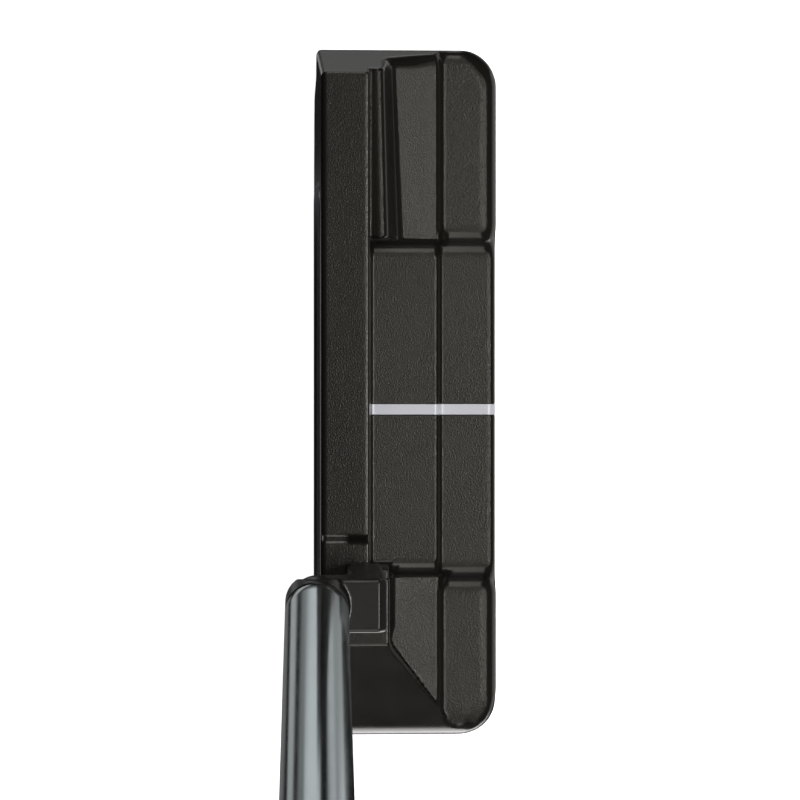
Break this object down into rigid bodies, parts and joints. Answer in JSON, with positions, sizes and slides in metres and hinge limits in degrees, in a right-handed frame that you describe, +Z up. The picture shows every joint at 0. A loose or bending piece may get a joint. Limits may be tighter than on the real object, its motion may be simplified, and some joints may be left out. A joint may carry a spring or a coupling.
{
  "type": "blade putter",
  "caption": "Right handed heel-toe weighted golf putter: black blade head with a stepped cavity, plumber's neck, dark chrome shaft and pistol grip.",
  "frame": {"origin": "on the flat of the sole, under the sight line, halfway between the leading edge and the back edge of the head", "axes": "+Z up from the ground, -Y where the face looks, -X towards the toe, +X towards the heel and the golfer. The shaft leans towards +X at its lie of 70 degrees."},
  "size_m": [0.3906, 0.0436, 0.8384],
  "materials": {
    "black_steel": "black coated stainless steel, fine blasted grain",
    "black_steel_satin": "black coated stainless steel, smooth satin",
    "milled_aluminium": "dark anodised, milled",
    "elastomer": "soft cast polyurethane, matt",
    "adhesive_sheet": "double sided film",
    "white_enamel": "baked white enamel infill",
    "bare_steel": "turned and bead blasted",
    "seal_rubber": "matt",
    "dark_chrome": "smoked chrome plate, mirror",
    "epoxy": "cured adhesive",
    "mounting_tape": "crepe tape",
    "foamed_rubber": "closed cell, matt",
    "grip_rubber": "matt, embossed",
    "seam_thread": "waxed thread",
    "moulded_rubber": "matt, moulded"
  },
  "bodies": {
    "root": {"head_body": "black_steel", "plumbers_neck": "black_steel_satin", "face_plate": "milled_aluminium", "insert_pad": "elastomer", "insert_adhesive": "adhesive_sheet", "sight_line": "white_enamel", "toe_weight": "bare_steel", "heel_weight": "bare_steel", "toe_weight_washer": "seal_rubber", "heel_weight_washer": "seal_rubber", "shaft": "dark_chrome", "hosel_epoxy": "epoxy", "grip_tape": "mounting_tape", "grip_core": "foamed_rubber", "grip_skin": "grip_rubber", "grip_seam_thread": "seam_thread", "grip_tip_ring": "moulded_rubber", "grip_end_cap": "moulded_rubber"}
  },
  "joints": []
}
